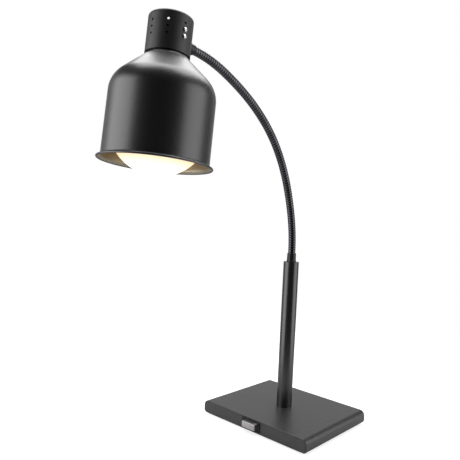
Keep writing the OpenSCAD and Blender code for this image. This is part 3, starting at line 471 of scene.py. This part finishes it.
# gooseneck
neck = {"foot": 333, "length": 466.5, "sections": 7, "bends": (13, 9, 13, 15, 11, 8, 16),
        "radius": 7.25, "groove": 0.65, "pitch": 4.8, "wall": 1.2, "rowsPerTurn": 12, "around": 36,
        "innerRings": 9, "boreExtra": 0.5, "round": 0.97,
        "intoFerrule": 9.5, "straight": 3, "blendReach": 30}
neck["section"] = neck["length"] / neck["sections"]


def neckLine(s):
    # Centre and heading at arc length s: seven arcs of one length, each with its own bend, and
    # straight beyond the ends. On an arc the reach grows by r (cos a0 - cos a) and the height
    # by r (sin a - sin a0)
    part, bends = neck["section"], np.radians(neck["bends"])
    headings = np.concatenate([[0], np.cumsum(bends)])
    starts = [np.zeros(2)]
    for a, b in zip(headings[:-1], bends):
        r = part / b
        along = np.array([np.cos(a) - np.cos(a + b), np.sin(a + b) - np.sin(a)])
        starts.append(starts[-1] + r * along)
    starts = np.array(starts)
    k = np.clip((s // part).astype(int), 0, neck["sections"] - 1)
    inside = np.clip(s - k * part, 0, part)
    beyond = s - k * part - inside
    r, a0 = part / bends[k], headings[k]
    a = a0 + inside / r
    reach = starts[k, 0] + r * (np.cos(a0) - np.cos(a)) + beyond * np.sin(a)
    up = starts[k, 1] + r * (np.sin(a) - np.sin(a0)) + beyond * np.cos(a)
    return np.stack([0 * s, -reach, neck["foot"] + up], -1), a


def hoseSkin(s0, s1):
    # Wound wire: the radius falls in a groove that runs round as a screw, one turn each pitch along
    # the line. Across a turn it is the radius less the groove times 1 - sqrt(1 - v squared), with v
    # going from -round to round. The crest is 1 on top of a turn and near 0 in the groove, and is
    # kept for the finish, which paints the groove near black as dirt and painted shade
    rows = int(np.ceil((s1 - s0) / neck["pitch"] * neck["rowsPerTurn"])) + 1
    s = np.linspace(s0, s1, rows)
    w = np.arange(neck["around"]) * 2 * np.pi / neck["around"]
    turn = s[:, None] / neck["pitch"] + w[None, :] / (2 * np.pi)
    u = 2 * (turn - np.floor(turn)) - 1
    radius = neck["radius"] - neck["groove"] * (1 - np.sqrt(1 - (neck["round"] * u) ** 2))
    centre, a = neckLine(s)
    side = np.array([1.0, 0, 0])
    lean = np.stack([0 * a, -np.cos(a), -np.sin(a)], -1)
    ring = np.cos(w)[None, :, None] * side + np.sin(w)[None, :, None] * lean[:, None, :]
    outer = centre[:, None, :] + radius[..., None] * ring
    inner = centre[:, None, :] + (neck["radius"] - neck["wall"] - neck["boreExtra"]) * ring
    crest = (radius - neck["radius"]) / neck["groove"] + 1
    return outer, inner[::-1], np.clip(crest, 0, 1) ** 2


def buildHose():
    # Eight lengths of hose, cut in the middle of each section: the end ones ride on the pole and the
    # head, and each of the others stays fixed where it is drawn, across the joint in its middle
    part, far = neck["section"], neck["length"]
    middles = [(k + 0.5) * part for k in range(neck["sections"])]
    cuts = [-neck["straight"] - neck["intoFerrule"], *middles, far + neck["intoFerrule"]]
    chain = ["stand", "neck_2", "neck_3", "neck_4", "neck_5", "neck_6", "head"]
    for k in range(8):
        outer, inner, crest = hoseSkin(cuts[k], cuts[k + 1])
        fewer = np.linspace(0, len(inner) - 1, neck["innerRings"]).astype(int)   # its inside is smooth
        points = np.concatenate([outer, inner[fewer]])
        faces = gridFaces(len(points), neck["around"], True, True)
        piece = pieceFrom(f"hoseTurns{k + 1}", points, faces, [hoseChrome], sharp=70)
        # Crest mask: 1 keeps the crest's own colour, 0 gives the groove its painted shade and dirt
        crestMask = np.concatenate([crest.ravel(), np.zeros(neck["innerRings"] * neck["around"])])
        if len(piece.data.vertices) != len(crestMask):
            raise ValueError("the hose lost a point, so its crests can't be marked")
        crests = piece.data.attributes.new("crest", "FLOAT", "POINT")
        crests.data.foreach_set("value", crestMask.astype(np.float32))
        if k in (0, 7):
            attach(piece, chain[0 if k == 0 else 6])
        else:
            reach = neck["blendReach"]
            ends, _ = neckLine(np.array([k * part - reach, k * part + reach]))
            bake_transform(piece)
        stoodFor = min(k + 1, 7)
        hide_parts(f"neck_hose_{stoodFor}", f"neck_link_{stoodFor}")


buildHose()
print("gooseneck built")

# head
head = {"y": -347.89, "z": 467.64, "tilt": 5, "capRadius": 33.6, "entry": 188}
shade = {"rim": 85.4, "bead": 1.5, "wallFoot": 79.3, "wallTop": 78.7, "shoulderHeight": 98,
         "shoulder": 41, "cone": 48, "neck": 31.8, "hollow": 10, "sheet": 1.0, "top": 171,
         "flange": 22.6, "wallTrim": (4, 3), "flareSteps": 12, "wallRows": 24, "shoulderSteps": 32,
         "hollowSteps": 16, "beadSteps": 20, "turns": 160,
         "flareStart": (253.2, 254.8), "beadTurn": (-168.3, 152.4)}   # degrees, where bead meets skin
bulb = {"radius": 62.5, "drop": 16, "face": 42, "corner": 26, "neck": 19, "neckHeight": 108,
        "neckLength": 8, "seat": 130, "end": 133, "seatRadius": 12.05, "glass": 1.0, "swell": 0.9,
        "faceRows": 20, "cornerRows": 14, "sideRows": 31, "turns": 128, "glowReach": 44}


def inHead(points):
    # From the shade's own frame, rim plane at zero and axis up, into the lamp's: turned back by the tilt
    t = np.radians(head["tilt"])
    x, y, z = np.moveaxis(points, -1, 0)
    ahead = head["y"] + y * np.cos(t) + z * np.sin(t)
    return np.stack([x, ahead, head["z"] - y * np.sin(t) + z * np.cos(t)], -1)


def shadeLine(inset):
    # Half section of the bell, from the rim up: three arcs for the flare, the shoulder and the hollow,
    # with a nearly straight wall between the first two and a cone between the last two
    r, c = shade["rim"] - shade["bead"], np.radians(shade["cone"])
    flare = r - shade["wallFoot"]
    middle = shade["wallTop"] - shade["shoulder"]
    coneFoot = middle + shade["shoulder"] * np.cos(c)
    coneTop = shade["neck"] + shade["hollow"] * (1 - np.cos(c))
    hollowHeight = (shade["shoulderHeight"] + (shade["shoulder"] + shade["hollow"]) * np.sin(c)
                    + (coneFoot - coneTop) / np.tan(c))
    low = shade["bead"] + shade["sheet"] / 2 + flare
    start = shade["flareStart"][0 if inset == 0 else 1]
    afterFlare, beforeShoulder = shade["wallTrim"]
    wall = np.linspace(low + afterFlare, shade["shoulderHeight"] - beforeShoulder, shade["wallRows"])
    wallX = np.interp(wall, [low, shade["shoulderHeight"]], [shade["wallFoot"], shade["wallTop"]])
    return np.vstack([
        arcPoints(r, low, flare + inset, start, 180, shade["flareSteps"]),
        np.stack([wallX - inset, wall], -1),
        arcPoints(middle, shade["shoulderHeight"], shade["shoulder"] - inset, 0, shade["cone"],
                  shade["shoulderSteps"]),
        arcPoints(shade["neck"] + shade["hollow"], hollowHeight, shade["hollow"] + inset,
                  180 + shade["cone"], 180, shade["hollowSteps"])])


def buildShade():
    # Closed section: outer skin up, flange in to the lampholder, inner skin down, and round
    # the rolled bead
    outer, inner = shadeLine(0), shadeLine(shade["sheet"])
    top, sheet = shade["top"], shade["sheet"]
    flange = [[shade["neck"], top], [shade["flange"], top], [shade["flange"], top - sheet],
              [shade["neck"] - sheet, top - sheet]]
    bead = arcPoints(shade["rim"] - shade["bead"], shade["bead"], shade["bead"],
                     *shade["beadTurn"], shade["beadSteps"])[1:-1]
    section = np.vstack([outer, flange, inner[::-1], bead])
    points = inHead(revolved(section, shade["turns"]))
    faces = gridFaces(len(section), shade["turns"], True, True)
    row = np.repeat(np.arange(len(section)), shade["turns"])
    inside = (row >= len(outer) + 2) & (row < len(section) - len(bead) - 1)   # these faces are bare metal
    piece = pieceFrom("shadeBell", points, faces, [shadeCoat, spunInside], inside, sharp=30)
    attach(piece, "head")
    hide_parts("shade")


def bulbLine(inset):
    # Half section of the reflector bulb: a shallow arc for the face, an arc round the corner, a shoulder
    # whose radius falls as half a cosine of the height, and straight lines for neck and seat
    wide = bulb["face"] - bulb["drop"]
    flat = bulb["radius"] - bulb["corner"]
    rise = bulb["face"] - bulb["corner"]
    faceR = (flat ** 2 + bulb["face"] ** 2 - bulb["corner"] ** 2) / (2 * rise)
    end = np.arctan2(flat, faceR - bulb["face"])
    a = np.linspace(0, end, bulb["faceRows"])
    b = np.linspace(end, np.pi / 2, bulb["cornerRows"])[1:]
    u = np.linspace(0, 1, bulb["sideRows"])[1:]
    w = (1 - np.cos(np.pi * u ** bulb["swell"])) / 2
    face, corner = faceR - inset, bulb["corner"] - inset
    return np.vstack([
        np.stack([face * np.sin(a), faceR - bulb["drop"] - face * np.cos(a)], -1),
        np.stack([flat + corner * np.sin(b), wide - corner * np.cos(b)], -1),
        np.stack([bulb["radius"] - (bulb["radius"] - bulb["neck"]) * w - inset,
                  wide + (bulb["neckHeight"] - wide) * u], -1),
        [[bulb["neck"] - inset, bulb["neckHeight"] + bulb["neckLength"]],
         [bulb["seatRadius"] - inset, bulb["seat"]], [bulb["seatRadius"] - inset, bulb["end"]]]])


def buildBulb():
    outer, inner = bulbLine(0), bulbLine(bulb["glass"])
    section = np.vstack([outer, inner[::-1]])
    points = inHead(revolved(section, bulb["turns"]))
    faces = gridFaces(len(section), bulb["turns"], False, True)
    piece = pieceFrom("bulbEnvelope", points, faces, [bulbFrost])
    # The glow falls from the face to the neck, by height along the bulb's own axis
    co = np.zeros(len(piece.data.vertices) * 3)
    piece.data.vertices.foreach_get("co", co)
    co = co.reshape(-1, 3) * 1000
    t = np.radians(head["tilt"])
    height = (co[:, 1] - head["y"]) * np.sin(t) + (co[:, 2] - head["z"]) * np.cos(t)
    glow = np.clip(1 - (height + bulb["drop"]) / bulb["glowReach"], 0, 1)
    glows = piece.data.attributes.new("glow", "FLOAT", "POINT")
    glows.data.foreach_set("value", glow.astype(np.float32))
    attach(piece, "head")
    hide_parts("bulb_glass")


def buildUpperFerrule():
    # The sleeve lies along the head's own +Y, its foot sunk a little into the cap's round side
    section = ferruleSection(ferrule["headLength"])
    section[:3, 1] -= ferrule["sunk"] * np.array([1, 1, 0.9])
    x, y, z = np.moveaxis(revolved(section, ferrule["turns"]), -1, 0)
    points = inHead(np.stack([x, head["capRadius"] + z, head["entry"] - y], -1))
    faces = gridFaces(len(section), ferrule["turns"], True, True)
    piece = pieceFrom("upperFerruleSleeve", points, faces, [ferruleOxide], sharp=25)
    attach(piece, "head")
    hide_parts("upper_ferrule")


buildShade()
buildBulb()
buildUpperFerrule()
print("head built")

# switch cover
boot = {"footWidth": 37, "footHeight": 16, "width": 31, "height": 12, "foot": -100.8, "front": -109,
        "middle": 15, "round": 2.0, "wall": 0.7, "around": 96, "square": 7,
        "sideRows": 14, "edgeRows": 7, "frontRows": 12, "ripple": 0.35, "held": 0.8,
        "firstWave": (0.9, 0.6), "crossWave": (0.8, 0.35), "crossShift": 1.0}   # radians, per mm


def buildBoot():
    # Rings that follow a squarish oval, x = width cos a to a small power and z = height sin a to the
    # same, drawn in from the foot to the front, turned over a soft edge, then shrunk to the middle of
    # the front, where two crossed sine ripples crease the film
    b = boot
    a = np.arange(b["around"]) * 2 * np.pi / b["around"]
    t = np.linspace(0, 1, b["sideRows"])[:-1]
    e = np.radians(np.linspace(0, 90, b["edgeRows"]))
    inward = np.linspace(1, 0, b["frontRows"])[1:]
    depth = abs(b["front"] - b["foot"])
    along = np.concatenate([t * (depth - b["round"]), depth - b["round"] + b["round"] * np.sin(e),
                            np.full(len(inward), depth)])
    width = np.concatenate([b["footWidth"] + (b["width"] - b["footWidth"]) * t,
                            b["width"] - 2 * b["round"] * (1 - np.cos(e)),
                            (b["width"] - 2 * b["round"]) * inward]) / 2
    height = np.concatenate([b["footHeight"] + (b["height"] - b["footHeight"]) * t,
                             b["height"] - 2 * b["round"] * (1 - np.cos(e)),
                             (b["height"] - 2 * b["round"]) * inward]) / 2
    power = 2 / b["square"]
    x = width[:, None] * np.sign(np.cos(a)) * np.abs(np.cos(a)) ** power
    z = height[:, None] * np.sign(np.sin(a)) * np.abs(np.sin(a)) ** power
    (p, q), (m, n) = b["firstWave"], b["crossWave"]
    ripple = b["ripple"] * np.sin(x * p + q * z) * np.sin(z * m - n * x + b["crossShift"])
    fade = b["held"] * np.clip(along / depth, 0, 1)[:, None] ** 3
    y = b["foot"] - along[:, None] + (ripple - b["ripple"]) * fade
    points = np.stack([x, y, b["middle"] + z], -1)
    walls = np.repeat(np.arange(len(along) - 1) < len(t) + 1, b["around"])   # black shows through these
    faces = gridFaces(len(along), b["around"], False, True)
    piece = pieceFrom("switchCoverFilm", points, faces, [bootPvc, bootSide], walls, sharp=60)
    wall = piece.modifiers.new("filmWall", "SOLIDIFY")
    wall.thickness = b["wall"] / 1000
    wall.offset = -1
    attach(piece, "stand")
    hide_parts("switch_cover")


buildBoot()
print("switch cover built")

# floor, lamps and world
studio = {"floorHalf": 3, "floorColour": "#BDBDBD", "fadeStart": 0.45, "fadeEnd": 1.2, "floorGlow": 0.75,
          "worldDiffuse": 0.34, "worldGloss": 0.03, "target": (0, -0.15, 0.35)}
# Each lamp: metres to the right, away and up from the target as the camera sees it, then its
# width, height and radiance
lamps = {"backWall": (0.0, 2.2, 0.5, 3.0, 2.2, 0.6),
         "leftWall": (-1.56, -0.36, 0.15, 1.6, 2.0, 2.7),
         "leftBackWall": (-1.30, 0.92, 0.15, 1.3, 2.0, 0.35),
         "rightWall": (1.56, -0.32, 0.15, 1.5, 2.0, 2.0),
         "rightBackWall": (1.30, 0.92, 0.15, 1.3, 2.0, 0.15),
         "topSoftbox": (0.02, 0.30, 1.15, 1.3, 1.2, 4.6)}


def buildFloor():
    # Pale floor that keeps the shadow near the lamp and fades into the white round it
    mesh = bpy.data.meshes.new("floorSheet")
    h = studio["floorHalf"]
    mesh.from_pydata([(-h, -h, 0), (h, -h, 0), (h, h, 0), (-h, h, 0)], [], [(0, 1, 2, 3)])
    floor = bpy.data.objects.new("floorSheet", mesh)
    bpy.context.scene.collection.objects.link(floor)
    material = bpy.data.materials.new("paintedFloorWhite")
    material.use_nodes = True
    tree = material.node_tree
    tree.nodes.clear()
    path = addNode(tree, "ShaderNodeLightPath").outputs
    place = addNode(tree, "ShaderNodeTexCoord").outputs["Object"]
    far = addNode(tree, "ShaderNodeVectorMath", {"operation": "LENGTH"}, {0: place}).outputs["Value"]
    fade = addNode(tree, "ShaderNodeMapRange",
                   {"From Min": studio["fadeStart"], "From Max": studio["fadeEnd"]},
                   {"Value": far}).outputs[0]
    paint = addNode(tree, "ShaderNodeBsdfDiffuse", {"Color": linear(studio["floorColour"])}).outputs[0]
    seen = addNode(tree, "ShaderNodeMath", {"operation": "MULTIPLY", 1: studio["floorGlow"]},
                   {0: path["Is Camera Ray"]}).outputs[0]
    light = addNode(tree, "ShaderNodeEmission", None, {"Strength": seen}).outputs[0]
    both = addNode(tree, "ShaderNodeAddShader", None, {0: paint, 1: light}).outputs[0]
    clear = addNode(tree, "ShaderNodeBsdfTransparent").outputs[0]
    shown = addNode(tree, "ShaderNodeMixShader", None, {0: fade, 1: both, 2: clear}).outputs[0]
    addNode(tree, "ShaderNodeOutputMaterial", None, {"Surface": shown})
    mesh.materials.append(material)


def buildWorld():
    # White to the camera and through glass, a soft grey fill for matt surfaces, and nearly black
    # in reflections, which the lamps light instead
    world = bpy.data.worlds.new("studioWorld")
    bpy.context.scene.world = world
    world.use_nodes = True
    tree = world.node_tree
    tree.nodes.clear()
    path = addNode(tree, "ShaderNodeLightPath").outputs
    gloss = addNode(tree, "ShaderNodeMapRange",
                    {"To Min": studio["worldDiffuse"], "To Max": studio["worldGloss"]},
                    {"Value": path["Is Glossy Ray"]}).outputs[0]
    clear = addNode(tree, "ShaderNodeMath", {"operation": "MAXIMUM"},
                    {0: path["Is Camera Ray"], 1: path["Is Transmission Ray"]}).outputs[0]
    strength = addNode(tree, "ShaderNodeMath", {"operation": "MAXIMUM"}, {0: gloss, 1: clear}).outputs[0]
    back = addNode(tree, "ShaderNodeBackground", {"Color": (1, 1, 1, 1)},
                   {"Strength": strength}).outputs[0]
    addNode(tree, "ShaderNodeOutputWorld", None, {"Surface": back})


def softbox(name, aside, back, up, width, height, radiance):
    # A lamp turned to face the target. Its power is the one that gives this radiance at its face
    target = np.array(studio["target"])
    sideways = np.array([right[0], right[1], 0]) / np.hypot(right[0], right[1])
    away = np.array([forward[0], forward[1], 0]) / np.hypot(forward[0], forward[1])
    place = target + aside * sideways + back * away + up * np.array([0, 0, 1])
    data = bpy.data.lights.new(name, "AREA")
    data.shape = "RECTANGLE"
    data.size, data.size_y = width, height
    data.energy = radiance * np.pi * width * height
    lamp = bpy.data.objects.new(name, data)
    bpy.context.scene.collection.objects.link(lamp)
    lamp.location = place
    toward = target - place
    toward /= np.linalg.norm(toward)
    flat = np.cross(toward, [0, 0, 1])
    flat /= np.linalg.norm(flat)
    aim = np.stack([flat, np.cross(flat, toward), -toward], -1)
    lamp.rotation_euler = Matrix(aim.tolist()).to_euler()


buildFloor()
buildWorld()
for name, values in lamps.items():
    softbox(name, *values)
bpy.context.scene.view_settings.view_transform = "Standard"
print("studio built")
